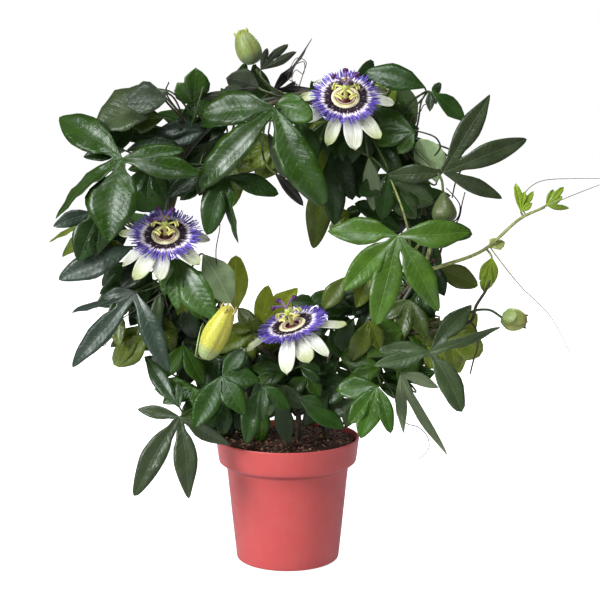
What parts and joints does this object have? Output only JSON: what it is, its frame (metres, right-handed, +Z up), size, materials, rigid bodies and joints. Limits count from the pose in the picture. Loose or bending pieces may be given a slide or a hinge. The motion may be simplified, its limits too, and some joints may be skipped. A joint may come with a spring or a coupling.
{
  "type": "potted passion flower",
  "caption": "Passion flower trained round a wire hoop in a plastic grower's pot, with open flowers, buds and a young shoot.",
  "frame": {"origin": "centre of the pot's flat base", "axes": "+Z up, -Y towards the front of the ring, +X to the right as seen from the front"},
  "size_m": [0.4467, 0.1411, 0.4394],
  "materials": {
    "pot_plastic": "coral red, satin, moulded",
    "peat": "dark brown peat crumbs with pale fibres, rough",
    "hoop_wire": "dull grey-green coating",
    "leaf_green": "green leaf with pale veins and a waxy sheen, woody stem",
    "young_green": "light yellow-green, waxy",
    "bud_green": "pale green, waxy",
    "bud_yellow": "bright yellow-green with a brown stripe",
    "petal_white": "creamy white with green undersides, soft",
    "corona_violet": "violet filaments with white bands",
    "crown_purple": "dark purple threads round a cream ring",
    "column_cream": "cream yellow, matt",
    "stigma_purple": "dark purple, satin"
  },
  "bodies": {
    "root": {"pot": "pot_plastic", "soil": "peat", "hoop": "hoop_wire", "bloom_top_tepals": "petal_white", "bloom_top_corona": "corona_violet", "bloom_top_crown": "crown_purple", "bloom_top_column": "column_cream", "bloom_top_stigmas": "stigma_purple", "bloom_left_tepals": "petal_white", "bloom_left_corona": "corona_violet", "bloom_left_crown": "crown_purple", "bloom_left_column": "column_cream", "bloom_left_stigmas": "stigma_purple", "bloom_low_tepals": "petal_white", "bloom_low_corona": "corona_violet", "bloom_low_crown": "crown_purple", "bloom_low_column": "column_cream", "bloom_low_stigmas": "stigma_purple", "bud_top": "bud_green", "bud_opening": "bud_yellow", "bud_right": "bud_green", "bud_hanging": "bud_green", "stem_left_low": "leaf_green", "stem_left_side": "leaf_green", "stem_left_top": "leaf_green", "stem_right_top": "leaf_green", "stem_right_side": "leaf_green", "stem_right_low": "leaf_green", "stem_middle": "leaf_green", "young_shoot": "young_green"}
  },
  "joints": []
}
